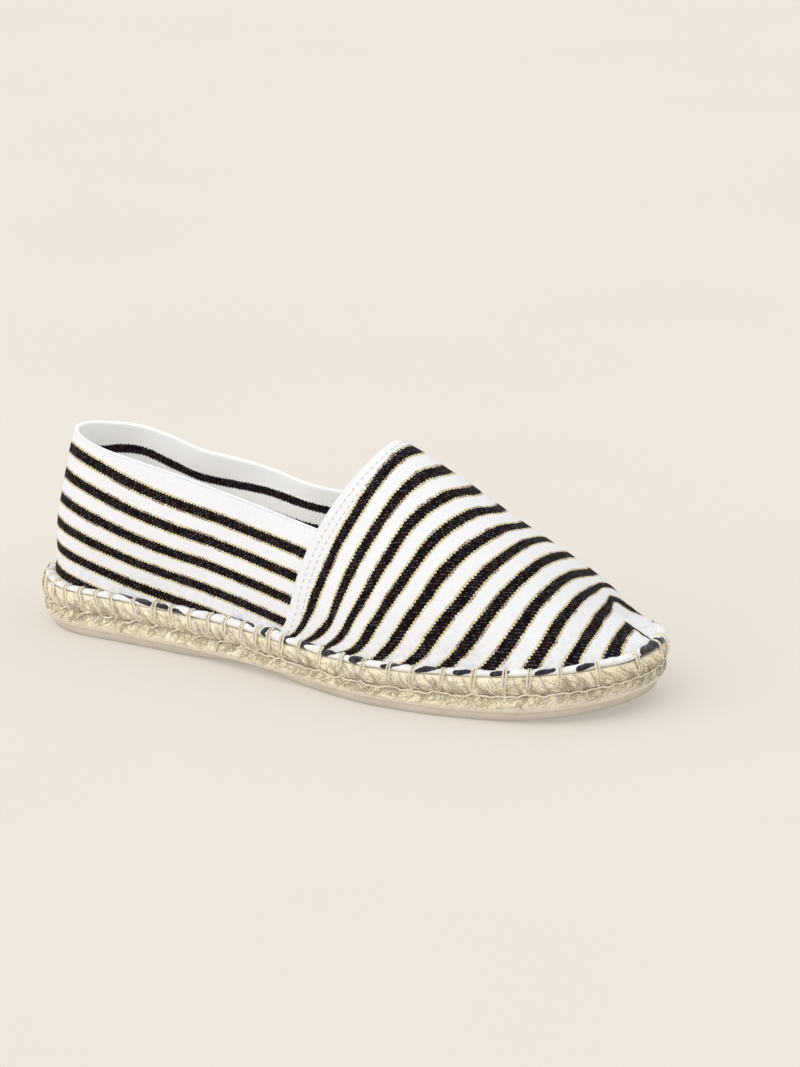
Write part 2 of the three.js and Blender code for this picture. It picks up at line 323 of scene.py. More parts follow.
# How far the foot of each stitch lies along the ring from its top: more by the heel, where they lean forward
HEELWARDS = unit((130 - edge.from_heel(STITCHES)) / 60)
STITCH_LEAN = np.where(STITCHES < edge.toe, 1, -1) * (2.6 * HEELWARDS + 0.3)
STITCH_LEAN = STITCH_LEAN + random.normal(0, 0.7, len(STITCHES))


def pulled(u, width):
    """How near a place along the edge is to a stitch, from 0 to 1."""
    away = np.abs(np.mod(u[..., None] - STITCHES + edge.length / 2, edge.length) - edge.length / 2)
    return bell(away, width).sum(-1).clip(0, 1)


# Materials


class Signal:
    """An output of a shader node, which adds, subtracts, multiplies and divides like a number."""

    def __init__(self, nodes, socket):
        self.nodes, self.socket = nodes, socket

    def __add__(self, other):
        return self.nodes.math("ADD", self, other)

    def __sub__(self, other):
        return self.nodes.math("SUBTRACT", self, other)

    def __mul__(self, other):
        return self.nodes.math("MULTIPLY", self, other)

    def __truediv__(self, other):
        return self.nodes.math("DIVIDE", self, other)


class Nodes:
    """A material's shader nodes, with place as the surface's place in millimetres."""

    def __init__(self, name):
        self.material = bpy.data.materials.new(name)
        self.material.use_nodes = True
        self.tree = self.material.node_tree
        self.tree.nodes.clear()
        self.shader = self.tree.nodes.new("ShaderNodeBsdfPrincipled")
        output = self.tree.nodes.new("ShaderNodeOutputMaterial")
        self.tree.links.new(self.shader.outputs[0], output.inputs["Surface"])
        here = self.add("TexCoord", "Object")
        self.place = self.add("VectorMath", 0, {0: here, "Scale": 1000.0}, operation="SCALE")

    def put(self, value, socket):
        """Links a signal to a socket or sets it: a colour is three numbers."""
        if isinstance(value, Signal):
            self.tree.links.new(value.socket, socket)
        else:
            socket.default_value = (*value, 1.0) if isinstance(value, tuple) else value

    def add(self, kind, output, inputs=None, **settings):
        node = self.tree.nodes.new("ShaderNode" + kind)
        for key, value in settings.items():
            setattr(node, key, value)
        for key, value in (inputs or {}).items():
            self.put(value, node.inputs[key])
        return Signal(self, node.outputs[output])

    def math(self, operation, *values):
        return self.add("Math", 0, dict(enumerate(values)), operation=operation)

    def value(self, name):
        """One of the mesh's values."""
        return self.add("Attribute", "Fac", attribute_name=name)

    def step(self, value, low, high, to_low=0.0, to_high=1.0):
        """Goes smoothly from to_low to to_high as value goes from low to high."""
        inputs = {"Value": value, "From Min": low, "From Max": high, "To Min": to_low, "To Max": to_high}
        return self.add("MapRange", "Result", inputs, interpolation_type="SMOOTHSTEP")

    def vector(self, x, y):
        return self.add("CombineXYZ", 0, {0: x, 1: y})

    def noise(self, scale, detail=2.0, roughness=0.5, at=None):
        inputs = {"Vector": at or self.place, "Scale": scale, "Detail": detail, "Roughness": roughness}
        return self.add("TexNoise", "Fac", inputs)

    def mix(self, share, a, b):
        return self.add("Mix", "Result", {"Factor": share, "A": a, "B": b}, data_type="RGBA")

    def patches(self, colour, other, scale, detail, low, high, most=1.0):
        """A colour with another in patches, where a noise goes from low to high."""
        return self.mix(self.step(self.noise(scale, detail), low, high, 0.0, most), colour, other)

    def bump(self, height, distance_mm, strength, **under):
        inputs = {"Height": height, "Distance": distance_mm * 0.001, "Strength": strength, **under}
        return self.add("Bump", 0, inputs)

    def finish(self, colour, roughness, gloss, **others):
        """Sets the shader's inputs: the others are named with underscores for spaces."""
        inputs = {"Base Color": colour, "Roughness": roughness, "Specular IOR Level": gloss, **others}
        for key, value in inputs.items():
            self.put(value, self.shader.inputs[key.replace("_", " ")])
        return self.material


BLACK = (0.006, 0.004, 0.004)
BLACK_BROWN = (0.016, 0.006, 0.004)
BLACK_NAVY = (0.006, 0.006, 0.011)
SPECK = (0.26, 0.25, 0.26)
GOLD = (0.60, 0.42, 0.10)
PALE_GOLD = (0.85, 0.74, 0.32)
RUST = (0.24, 0.09, 0.03)
PITCH = 9.3  # millimetres from stripe to stripe
RIB = 1.42  # millimetres between the ribs of the weave, along a stripe
HALF_BLACK = 0.185  # of the pitch
GOLD_ROW = 0.036  # of the pitch, past the black
FLECK_ROW = 0.092  # of the pitch, between the rows of light flecks
# How the cloth's two faces differ: the ground, its share in the shade, the half width of a stripe, the
# softness of its edge, and the strength of its flecks
OUTSIDE = dict(white=(0.85, 0.85, 0.86), shaded=0.93, half=HALF_BLACK, soft=0.012, flecks=0.38)
INSIDE = dict(white=(0.83, 0.82, 0.805), shaded=0.90, half=HALF_BLACK + 0.015, soft=0.035, flecks=0.20)


def canvas(name, face):
    """Ribbed cotton with woven stripes: stripe counts the stripes, and run is millimetres along them."""
    n = Nodes(name)
    run = n.value("run")
    stripe = n.value("stripe") + (n.noise(0.30) - 0.5) * 0.06
    nearest = n.math("ROUND", stripe)
    offset = stripe - nearest
    away = n.math("ABSOLUTE", offset)
    # below the first stripe's count lies the plain folded band
    striped = n.step(stripe, 0.5, 0.52)
    rib = run / RIB + n.math("SIGN", offset) * 0.22 + nearest * 0.37
    rough = n.noise(1.2) - 0.5
    ragged = rough * 0.075 - n.math("COSINE", rib * (2 * math.pi)) * 0.018 + face["half"]
    black = n.step(away - ragged, -face["soft"], face["soft"], 1.0, 0.0) * striped

    cloth = n.noise(0.9, 3.0, at=n.vector(run, stripe * (PITCH * 0.35)))
    shade = tuple(v * face["shaded"] for v in face["white"])
    colour = n.mix(n.step(cloth, 0.35, 0.75, 0.0, 0.5), face["white"], shade)
    if face is OUTSIDE:
        # metallic thread shows as a dot for each rib on both edges of a stripe
        across = (away - (HALF_BLACK + GOLD_ROW)) * PITCH
        beside = (rib - n.math("ROUND", rib)) * RIB
        spread = n.math("SQRT", across * across + beside * beside) + rough * 0.45
        dot = n.step(spread, 0.36, 0.52, 1.0, 0.0) * striped
        trail = n.step(n.math("ABSOLUTE", across), 0.22, 0.42, 1.0, 0.0) * striped
        colour = n.mix(trail * 0.55, colour, (0.30, 0.20, 0.09))
        # painted shade in mottled patches where the cloth puckers by the stitches at the foot, strongest low
        # down
        pucker_shade = n.step(n.noise(0.55, 3.0), 0.36, 0.66)
        colour = n.mix(n.value("low") * pucker_shade * 0.60, colour, (0.52, 0.56, 0.60))

    dark = n.patches(BLACK, BLACK_BROWN, 0.55, 1.0, 0.44, 0.60)
    dark = n.patches(dark, BLACK_NAVY, 0.31, 1.0, 0.50, 0.62, 0.8)
    # light flecks in three rows, the middle one between the others
    row = n.math("ROUND", offset / FLECK_ROW)
    from_row = (offset - row * FLECK_ROW) * PITCH
    tick = run / RIB + row * 0.5
    from_tick = (tick - n.math("ROUND", tick)) * RIB - from_row * 0.5
    fleck = n.step(from_row * from_row * 5.0 + from_tick * from_tick * 12.0, 0.35, 1.1, 1.0, 0.0)
    dark = n.mix(fleck * n.step(n.noise(0.8), 0.46, 0.60) * face["flecks"], dark, SPECK)
    colour = n.mix(black, colour, dark)

    weft = n.math("SINE", stripe * (PITCH * 2 * math.pi / 0.62))
    warp = n.math("SINE", run * (4 * math.pi / RIB))
    weave = warp * weft * 0.35 + warp * 0.2 + n.noise(2.0, 3.0) * 1.3 + black
    glow = {}
    if face is OUTSIDE:
        tint = n.patches(GOLD, PALE_GOLD, 1.5, 1.0, 0.38, 0.58)
        tint = n.patches(tint, RUST, 0.16, 1.0, 0.54, 0.62, 0.85)
        tint = n.patches(tint, face["white"], 0.70, 1.0, 0.58, 0.66, 0.8)
        colour = n.mix(dot, colour, tint)
        weave = weave + dot * 0.8
    else:
        # painted light: the inside glows a little in its own colour, standing in for daylight that passes
        # through one layer of thin cotton
        glow = {"Emission_Color": colour, "Emission_Strength": 0.28}
    normal = n.bump(n.noise(0.10), 1.3, 0.4, Normal=n.bump(weave, 0.17, 0.6))
    sheen = {"Sheen_Weight": n.step(black, 0.0, 1.0, 0.20, 0.045), "Sheen_Roughness": 0.45}
    gloss = n.step(black, 0.0, 1.0, 0.22, 0.03)
    return n.finish(colour, 0.9, gloss, Normal=normal, **sheen, **glow)


def rolled_canvas(name):
    """The rolled hem: white cloth, dark where ink is under zero, and darkened with painted shade where it is
    creased.
    """
    n = Nodes(name)
    ink = n.step(n.value("ink") + (n.noise(1.6) - 0.5) * 0.9, -0.06, 0.08, 1.0, 0.0)
    white = n.patches((0.85, 0.84, 0.83), (0.70, 0.68, 0.65), 0.45, 3.0, 0.4, 0.75, 0.5)
    # painted shade in the crease against the upper and where the stitches pull it in
    white = n.mix(n.step(n.value("crease"), 0.0, 1.0, 0.0, 0.55), white, (0.46, 0.41, 0.34))
    dark = n.patches((0.008, 0.007, 0.010), (0.035, 0.033, 0.040), 0.8, 2.0, 0.45, 0.62)
    dark = n.patches(dark, (0.35, 0.35, 0.38), 2.0, 1.0, 0.62, 0.70, 0.35)
    normal = n.bump(n.noise(0.5), 0.9, 0.5, Normal=n.bump(n.noise(2.4, 3.0), 0.22, 0.7))
    colour = n.mix(ink, white, dark)
    return n.finish(colour, 0.9, 0.25, Normal=normal, Sheen_Weight=0.3)


def jute_material(name):
    """Jute: across and along are millimetres over and along a strand, and deep is how low a point lies, which
    darkens it with painted shade.
    """
    n = Nodes(name)
    bent = n.value("across") + (n.noise(0.30) - 0.5) * 1.6
    along = n.value("along")
    coarse = n.noise(1.0, 3.0, 0.6, at=n.vector(bent * 2.0, along * 0.16))
    fine = n.noise(1.0, 3.0, 0.65, at=n.vector(bent * 5.5, along * 0.45))
    colour = n.mix(n.step(coarse, 0.36, 0.62), (0.89, 0.76, 0.51), (1.0, 0.91, 0.69))
    colour = n.mix(n.step(fine, 0.50, 0.64, 0.0, 0.85), colour, (1.0, 0.96, 0.80))
    colour = n.mix(n.step(fine, 0.30, 0.44, 0.70, 0.0), colour, (0.70, 0.56, 0.36))
    colour = n.patches(colour, (0.92, 0.81, 0.58), 0.14, 2.0, 0.45, 0.7, 0.35)
    # painted shade in the gaps between the strands and along the braid's middle
    colour = n.mix(n.step(n.value("deep"), 0.35, 1.0, 0.0, 0.38), colour, (0.66, 0.52, 0.33))
    coat = n.value("rubbered") + (n.noise(0.45, 4.0) - 0.5) * 1.1
    coat = n.step(coat, 0.25, 0.80, 0.0, 0.88)
    colour = n.mix(coat, colour, (0.70, 0.64, 0.53))
    normal = n.bump((coarse + fine * 0.8) * (coat * -0.75 + 1.0), 0.6, 0.85)
    # painted light: a faint glow in the jute's own colour brightens it, standing in for fill light and for
    # light that passes between the fibres
    glow = {"Emission_Color": colour, "Emission_Strength": 0.07}
    return n.finish(colour, 0.85, 0.3, Normal=normal, Sheen_Weight=0.15, **glow)


def thread_material(name, colour, shade, twist=1.3):
    """A plied thread: run is millimetres along it, and turn is the angle round it."""
    n = Nodes(name)
    ply = n.math("SINE", n.value("run") * (2 * math.pi / twist) + n.value("turn") * 2.0)
    # painted shade in the grooves between the plies; the darker colour also lies in patches at random
    tint = n.patches(n.mix(n.step(ply, -0.9, 0.4), shade, colour), shade, 0.5, 2.0, 0.45, 0.7, 0.4)
    return n.finish(tint, 0.8, 0.35, Normal=n.bump(ply, 0.12, 0.8), Sheen_Weight=0.2)


def rubber_material(name):
    """Rubber with painted shade that darkens it where low is 1, by the floor, and hatching where under is 1.
    """
    n = Nodes(name)
    cloud = n.noise(0.05, 3.0)
    colour = n.mix(n.step(cloud, 0.35, 0.7), (0.60, 0.545, 0.45), (0.71, 0.65, 0.55))
    # painted shade, darkest at the underside
    colour = n.mix(n.step(n.value("low"), 0.0, 1.0) * 0.50, colour, (0.33, 0.30, 0.25))
    colour = n.patches(colour, (0.40, 0.35, 0.27), 1.8, 2.0, 0.60, 0.68, 0.35)
    bands = {"wave_type": "BANDS", "bands_direction": "DIAGONAL"}
    hatch = n.add("TexWave", "Fac", {"Vector": n.place, "Scale": 0.16}, **bands)
    normal = n.bump(n.noise(0.8, 3.0) * 0.5 + hatch * n.value("under"), 0.35, 0.5)
    rough = n.step(cloud, 0.3, 0.7, 0.5, 0.68)
    return n.finish(colour, rough, 0.4, Normal=normal)


def insole_material(name):
    n = Nodes(name)
    weave = n.add("TexChecker", "Fac", {"Vector": n.place, "Scale": 1.25})
    colour = n.patches((0.66, 0.59, 0.47), (0.76, 0.70, 0.58), 0.8, 3.0, 0.35, 0.7)
    normal = n.bump(weave * 0.6 + n.noise(1.6, 3.0), 0.2, 0.6)
    return n.finish(colour, 0.93, 0.2, Normal=normal, Sheen_Weight=0.2)


def floor_material(name):
    """A pale floor with a little light of its own, which keeps the shoe's shadow faint."""
    n = Nodes(name)
    colour = n.patches((0.440, 0.408, 0.366), (0.447, 0.415, 0.373), 0.004, 2.0, 0.3, 0.7)
    glow = {"Emission_Color": (0.866, 0.806, 0.728), "Emission_Strength": 0.40}
    return n.finish(colour, 0.95, 0.0, **glow)


cloth_out = canvas("canvas_outside", OUTSIDE)
cloth_in = canvas("canvas_inside", INSIDE)
cloth_roll = rolled_canvas("canvas_rolled")
jute = jute_material("jute_braid")
jute_hair = thread_material("jute_hair", (0.97, 0.90, 0.72), (0.80, 0.68, 0.46), twist=9.0)
cream_thread = thread_material("cream_thread", (0.98, 0.92, 0.77), (0.90, 0.79, 0.58))
white_thread = thread_material("white_thread", (0.62, 0.62, 0.63), (0.36, 0.36, 0.38), twist=0.9)
rubber = rubber_material("sole_rubber")
insole_cloth = insole_material("insole_cloth")
floor_paint = floor_material("pale_floor")

# The stripes' places on the upper

# Stripe counts as sums of powers, with x and z measured from a middle in the given spans: the weights have a
# row for each power of x and a place in it for each power of z, both from none up
PANEL_STRIPES = {
    "x": (196.9, 60.0),
    "z": (50.0, 30.0),
    "weights": (
        (5.9339, -1.5681, -0.9275, -0.6604, 0.1227),
        (4.6479, -1.2426, -2.2756, -0.6377),
        (0.178, -0.9828, -1.4364),
        (0.8529, -0.017),
    ),
}
QUARTER_STRIPES = {
    "x": (66.9, 60.0),
    "z": (45.0, 30.0),
    "weights": (
        (2.3469, -3.2873, 0.1069),
        (-1.0741, -0.0804, -0.025),
        (0.3248, 0.1656),
        (-0.1495,),
    ),
}
# Counts to take off over the front panel's crest, by place from the heel and millimetres to the medial side
CREST_MENDS = {
    "y": (-10, -6, -2, 2, 6, 10, 14, 18, 30),
    150: (0, 0, 0, 0.05, 0.05, 0.05, 0, 0, 0),
    158: (0.02, 0.08, 0.15, 0.15, 0.15, 0.12, 0.10, 0.05, 0),
    174: (0, 0.10, 0.18, 0.22, 0.24, 0.24, 0.20, 0.15, 0),
    186: (0, 0.08, 0.24, 0.37, 0.32, 0.30, 0.25, 0.20, 0),
    198: (0, 0.01, 0.09, 0.24, 0.34, 0.36, 0.36, 0.30, 0),
    206: (-0.04, -0.05, -0.03, 0.02, 0.09, 0.18, 0.30, 0.28, 0),
    214: (-0.03, -0.06, -0.04, 0.01, 0.05, 0.10, 0.14, 0.20, 0),
    222: (0.01, -0.02, -0.03, -0.02, 0.02, 0.09, 0.18, 0.24, 0.1),
    230: (0.01, -0.03, -0.06, -0.08, -0.10, -0.14, -0.26, -0.42, -0.3),
    238: (0.05, 0.02, -0.06, -0.12, -0.16, -0.30, -0.55, -0.80, -0.6),
    246: (0, -0.10, -0.22, -0.28, -0.36, -0.42, -0.45, -0.35, 0),
}
# Counts to take off on the quarters, by millimetres along the foot from the heel: minus is medial
QUARTER_MENDS = {
    "at": (-118, -107, -92, -77, -62, -47, -32, -22, -15, -8, 0, 8, 18, 30, 38, 50, 60, 75, 88, 100, 118),
    "off": (
        -0.01, -0.03, 0.01, 0.20, 0.38, 0.44, 0.47, 0.66, 0.84, 0.90, 0.76,
        0.46, 0.18, -0.01, -0.05, -0.01, 0.02, 0.02, -0.02, 0.0, 0.01,
    ),
}
# Counts to take off on the front panel, by height over the floor and place from the heel
PANEL_MENDS = {
    "x": (134, 142, 150, 158, 166, 182, 198, 214, 230, 246),
    24: (0.03, 0.20, 0.09, 0.04, 0.02, 0.03, -0.01, 0.07, 0.02, -0.02),
    30: (0.06, 0.26, 0.10, -0.04, -0.03, -0.08, -0.02, 0.09, 0.13, -0.06),
    36: (0, 0.15, 0.13, 0.04, -0.04, -0.07, -0.04, 0.12, 0.02, -0.05),
    42: (0, 0.06, 0.12, 0.10, 0.01, -0.02, 0.05, 0.06, 0, 0),
    54: (0, -0.06, 0.09, 0.11, 0.11, -0.05, 0, 0, 0, 0),
    66: (0, -0.04, 0.08, 0.10, -0.01, -0.05, 0.01, 0, 0, 0),
    78: (0, -0.04, 0.05, 0, -0.02, 0.03, 0, 0, 0, 0),
}


def stripe_count(chart, points):
    x, z = ((points[..., k] - chart[key][0]) / chart[key][1] for k, key in ((0, "x"), (2, "z")))
    rows = enumerate(chart["weights"])
    return sum(weight * x**i * z**j for i, row in rows for j, weight in enumerate(row))


def mended(chart, name, along, across):
    """A chart's value: its named row gives places along, and its other rows are keyed by places across."""
    levels = [key for key in chart if key != name]
    rows = np.stack([np.interp(along, chart[name], chart[level]) for level in levels])
    place = np.interp(across, levels, np.arange(len(levels)))
    low = np.clip(place.astype(int), 0, len(levels) - 2)
    share = place - low
    below, above = (np.take_along_axis(rows, (low + k)[None], 0)[0] for k in (0, 1))
    return below * (1 - share) + above * share


def panel_count(points):
    """The stripe count over the front panel, at its points before they are creased."""
    x, y, z = points[..., 0], points[..., 1], points[..., 2]
    count = stripe_count(PANEL_STRIPES, points) - mended(PANEL_MENDS, "x", x, z)
    count = count - mended(CREST_MENDS, "y", y, x) * unit((z - 26) / 8)
    over = np.maximum(z - sole_top(x) - GAP, 0)
    # gathered heelwards at the foot behind
    return count + 0.85 * np.exp(-((over / 4.5) ** 1.5)) * unit((160 - x) / 14)


def pleated(points, count):
    """The count where a pleat past the middle of the toe hides the last stripe."""
    x, y = points[..., 0], points[..., 1]
    share = unit((y - 8.5 + 4.2 * unit((x - 242.5) / 5)) / 4.5)
    return count + (np.minimum(count, 10.6) - count) * share * share * (3 - 2 * share)


def run_along(points, count, start):
    """Millimetres along the stripes over a grid whose columns they cross: marched both ways from a column."""
    run = np.zeros(count.shape)
    last = count.shape[1] - 1
    for step, end in ((1, last), (-1, 0)):
        for j in range(start, end, step):
            order = np.argsort(count[:, j])
            here, there = count[order, j], count[:, j + step]
            moved = points[:, j + step] - between(there, here, points[order, j])
            run[:, j + step] = np.interp(there, here, run[order, j]) + step * np.linalg.norm(moved, axis=-1)
    return run


# Soft troughs and ridges. Each row has a place along and across, the half sizes along and across,
# and the depth, minus for a trough.
# Along is millimetres along the foot from the heel, minus for medial, and across is the height over the sole
QUARTER_FOLDS = (
    (-58, 47, 9, 16, -1.3),
    (-84, 40, 12, 16, 1.0),
    (-30, 50, 9, 14, 0.9),
    (-108, 34, 10, 18, -0.9),
    (34, 44, 12, 18, -0.8),
    (66, 26, 20, 12, 0.7),
    (100, 30, 14, 16, -0.7),
    (6, 22, 16, 10, 0.5),
    (16, 8, 5, 6, -0.5),
    (-20, 10, 8, 7, -0.5),
)
# Along is millimetres from the heel's edge, and across is the share of the way over, from the lateral foot
PANEL_FOLDS = (
    (232, 0.50, 15, 0.16, -1.9),
    (240, 0.72, 11, 0.16, -4.6),
    (243, 0.53, 9, 0.05, 0.7),
    (238, 0.34, 8, 0.07, -0.9),
    (141, 0.16, 8, 0.10, -0.7),
    (141, 0.84, 8, 0.10, -0.7),
    (196, 0.30, 16, 0.10, 0.5),
    (176, 0.70, 14, 0.09, -0.5),
    (214, 0.18, 12, 0.07, -0.4),
)


def folded(folds, along, across):
    """How far a table of folds moves the cloth outwards."""
    return sum(depth * bell(along - u, long) * bell(across - v, wide) for u, v, long, wide, depth in folds)


def normals_of(grid):
    """Unit normals of a grid of points, by differences."""
    normal = np.cross(np.gradient(grid, axis=0), np.gradient(grid, axis=1))
    return normal / np.maximum(np.linalg.norm(normal, axis=-1, keepdims=True), 1e-9)


RIM_STEPS = 5


def two_layers(name, outer, inner, bulge, values, closed=False):
    """Cloth of two layers, joined round their last rows and, if closed, at their first ones too. Each name in
    values has an outer and an inner grid."""
    turn = np.linspace(0, np.pi, RIM_STEPS + 2)[1:-1]
    middle, half = (outer[-1] + inner[-1]) / 2, (outer[-1] - inner[-1]) / 2
    rim = np.stack([middle + half * math.cos(t) + bulge * math.sin(t) for t in turn])
    points = np.concatenate([outer, rim, inner[::-1]])
    plain = np.zeros(rim.shape[:2])
    values = {key: np.concatenate([front, plain, back[::-1]]) for key, (front, back) in values.items()}
    rows, across = points.shape[:2]
    faces = grid_faces(rows, across, wrap_rows=closed)[:, ::-1]
    obj = make_mesh(name, points, faces, cloth_out, values)
    obj.data.materials.append(cloth_in)
    inside = faces.min(1) // across >= len(outer) + RIM_STEPS // 2
    obj.data.polygons.foreach_set("material_index", inside.astype(np.int32))
    return obj


# The quarters, one shell round the heel

panel_inset = LEDGE - CANVAS
panel_share = (PANEL_FOOT - panel_inset) / (SOLE_LENGTH - 2 * panel_inset)
PANEL_STATION = math.acos(1 - 2 * panel_share) / math.pi
# How far the doubled fold at the collar stands proud, and how far down it reaches
FOLD_PROUD = 0.22
FOLD_WIDTH = 8.6


def collar_height(x):
    """The collar's height over the sole at a place from the heel."""
    base_x, _, _, _, height, lean = hoop(np.array(PANEL_STATION), CANVAS)
    corner = float(base_x + lean * (CORNER_HEIGHT / height) ** 2)
    t = np.linspace(0, 1, 400)
    behind = HEEL_HEIGHT + (HEEL_HEIGHT - SIDE_HEIGHT) * (LEDGE / corner)
    middle = 2 * SIDE_HEIGHT - (HEEL_HEIGHT + CORNER_HEIGHT) / 2
    along = (1 - t) ** 2 * -LEDGE + 2 * t * (1 - t) * corner / 2 + t**2 * corner
    up = (1 - t) ** 2 * behind + 2 * t * (1 - t) * middle + t**2 * CORNER_HEIGHT
    slope = (up[-1] - up[-20]) / (along[-1] - along[-20])
    return np.where(x > corner, CORNER_HEIGHT + (x - corner) * slope, np.interp(x, along, up))


def quarter():
    rows, half_count = 58, 150
    forward = np.linspace(0, 1, half_count) ** 0.9 * (PANEL_STATION + 0.045)
    stations = np.concatenate([forward[::-1], forward[1:]])
    heel = half_count - 1
    lateral_side = np.arange(len(stations)) <= heel

    def layer(grown):
        """A layer's points, and their heights over the foot, as rows by stations."""
        x, lateral, medial, crest, height, lean = hoop(stations, grown)
        base = sole_top(x) + GAP
        top = np.full_like(x, SIDE_HEIGHT)
        for _ in range(12):
            top = SOLE_TOP + collar_height(x + lean * (top / height) ** 2) - base
        top = top - CANVAS / 2
        high = 0.2 + np.linspace(0, 1, rows)[:, None] * (top - 0.2)
        rise = np.clip(high / height, 0, 0.999)
        side = np.where(lateral_side, lateral, medial)
        y = crest + (side - crest) * np.sqrt(1 - rise**2)
        return np.stack([x + lean * rise**2, y, base + high], -1), high, top

    flat_outer, outer_high, top = layer(CANVAS)
    flat_inner, inner_high, _ = layer(0.0)
    run = travelled(flat_outer[0, :, :2])
    run = run[heel] - run  # lateral is positive, and the heel is 0
    u = np.broadcast_to(run, outer_high.shape)

    def creased(grid, high):
        normal = normals_of(grid)
        depth = folded(QUARTER_FOLDS, u, high) - 0.35 * pulled(u * 1.06, 1.8) * np.exp(-high / 5)
        depth = depth + 0.9 * bell(high, 4.0)
        depth = depth + 0.25 * np.sin(u / 7.3 + 1.0) * bell(high - top, 9)
        return grid + normal * depth[..., None], normal

    outer, outer_normal = creased(flat_outer, outer_high)
    inner, _ = creased(flat_inner, inner_high)
    # a doubled fold along the collar, a little proud on both sides
    proud = outer_normal * (FOLD_PROUD / (1 + np.exp(-(outer_high - top + FOLD_WIDTH) / 0.25)))[..., None]
    outer, inner = outer + 0.6 * proud, inner - proud
    flat = (flat_outer, flat_inner)
    mends = column(QUARTER_MENDS, "off", run)
    counts = [stripe_count(QUARTER_STRIPES, grid) - mends for grid in flat]
    values = {
        "stripe": counts,
        "run": [run_along(grid, count, heel) for grid, count in zip(flat, counts)],
        # low: how near a point of the outer face lies to the foot, which darkens it with painted shade
        "low": (np.exp(-outer_high / 7), np.zeros(inner_high.shape)),
    }
    return two_layers("quarter_cloth", outer, inner, np.array([0, 0, 0.8]), values, closed=True)


quarter_cloth = quarter()

# The front panel


def front_panel():
    lengthwise, crosswise = 150, 161
    stations = PANEL_STATION + (0.9992 - PANEL_STATION) * np.linspace(0, 1, lengthwise)
    angle = np.linspace(0.0, np.pi, crosswise)

    def layer(grown):
        x, lateral, medial, crest, height, lean = (v[:, None] for v in hoop(stations, grown))
        rise = np.sin(angle)[None]
        side = np.where(np.cos(angle)[None] > 0, lateral, medial)
        y = crest + (side - crest) * np.abs(np.cos(angle))[None]
        high = 1.2 + (height - 1.2) * rise
        gathered = 4.0 * bell(high, 7.0) * unit((160 - x) / 30)
        return np.stack(np.broadcast_arrays(x + lean * rise**2 - gathered, y, sole_top(x) + GAP + high), -1)

    outer, inner = layer(2 * CANVAS + GAP), layer(CANVAS + 0.1)
    x = outer[..., 0]
    high = outer[..., 2] - sole_top(x) - GAP
    share = np.broadcast_to(angle / np.pi, high.shape)
    # where the foot of each place lies along the sole's edge
    ring_u = np.linspace(0, edge.toe, 900)
    lateral_u = np.interp(outer[:, 0, 0], edge.x(ring_u), ring_u)[:, None]
    foot_u = np.where(share < 0.5, lateral_u, edge.length - lateral_u)
    depth = folded(PANEL_FOLDS, x, share) - 0.75 * pulled(foot_u, 2.0) * np.exp(-high / 4.5)
    depth = (depth + 1.1 * bell(high, 5.0)) * unit((x - 134) / 10)
    normal = normals_of(outer)
    counts = [panel_count(grid) for grid in (outer, inner)]
    runs = [run_along(grid, count, crosswise // 2) for grid, count in zip((outer, inner), counts)]
    counts = [pleated(grid, count) for grid, count in zip((outer, inner), counts)]
    outer, inner = (grid + normal * depth[..., None] for grid in (outer, inner))
    # low darkens the outer face near the foot with painted shade
    values = {"stripe": counts, "run": runs, "low": (np.exp(-high / 8), np.zeros(high.shape))}
    # the layers join behind, at the first station
    values = {key: [grid[::-1] for grid in pair] for key, pair in values.items()}
    behind = -0.9 * np.array([1.0, 0, 0.25])
    return two_layers("front_panel_cloth", outer[::-1], inner[::-1], behind, values), outer, normal


panel_cloth, panel_outer, panel_normal = front_panel()


def panel_stitches():
    """Two rows of stitches along the panel's rear edge."""
    behind = panel_outer[:40]
    along = np.linalg.norm(np.diff(behind, axis=0), axis=-1).cumsum(0)
    lift = 0.10 * np.sin(np.linspace(0, np.pi, 6)) - 0.10
    paths = []
    for from_edge, first in ((2.8, 3.0), (5.6, 3.65)):
        row = np.stack([between(from_edge, along[:, j], behind[1:, j]) for j in range(along.shape[1])])
        step = travelled(row)
        for start in np.arange(first, step[-1] - 4, 2.6):
            s = np.linspace(start, start + 1.5, 6)
            paths.append(between(s, step, row) + between(s, step, panel_normal[6]) * lift[:, None])
    return threads("panel_stitch_rows", white_thread, paths, [0.14] * len(paths), 6)


panel_stitch_rows = panel_stitches()

# The rolled hem

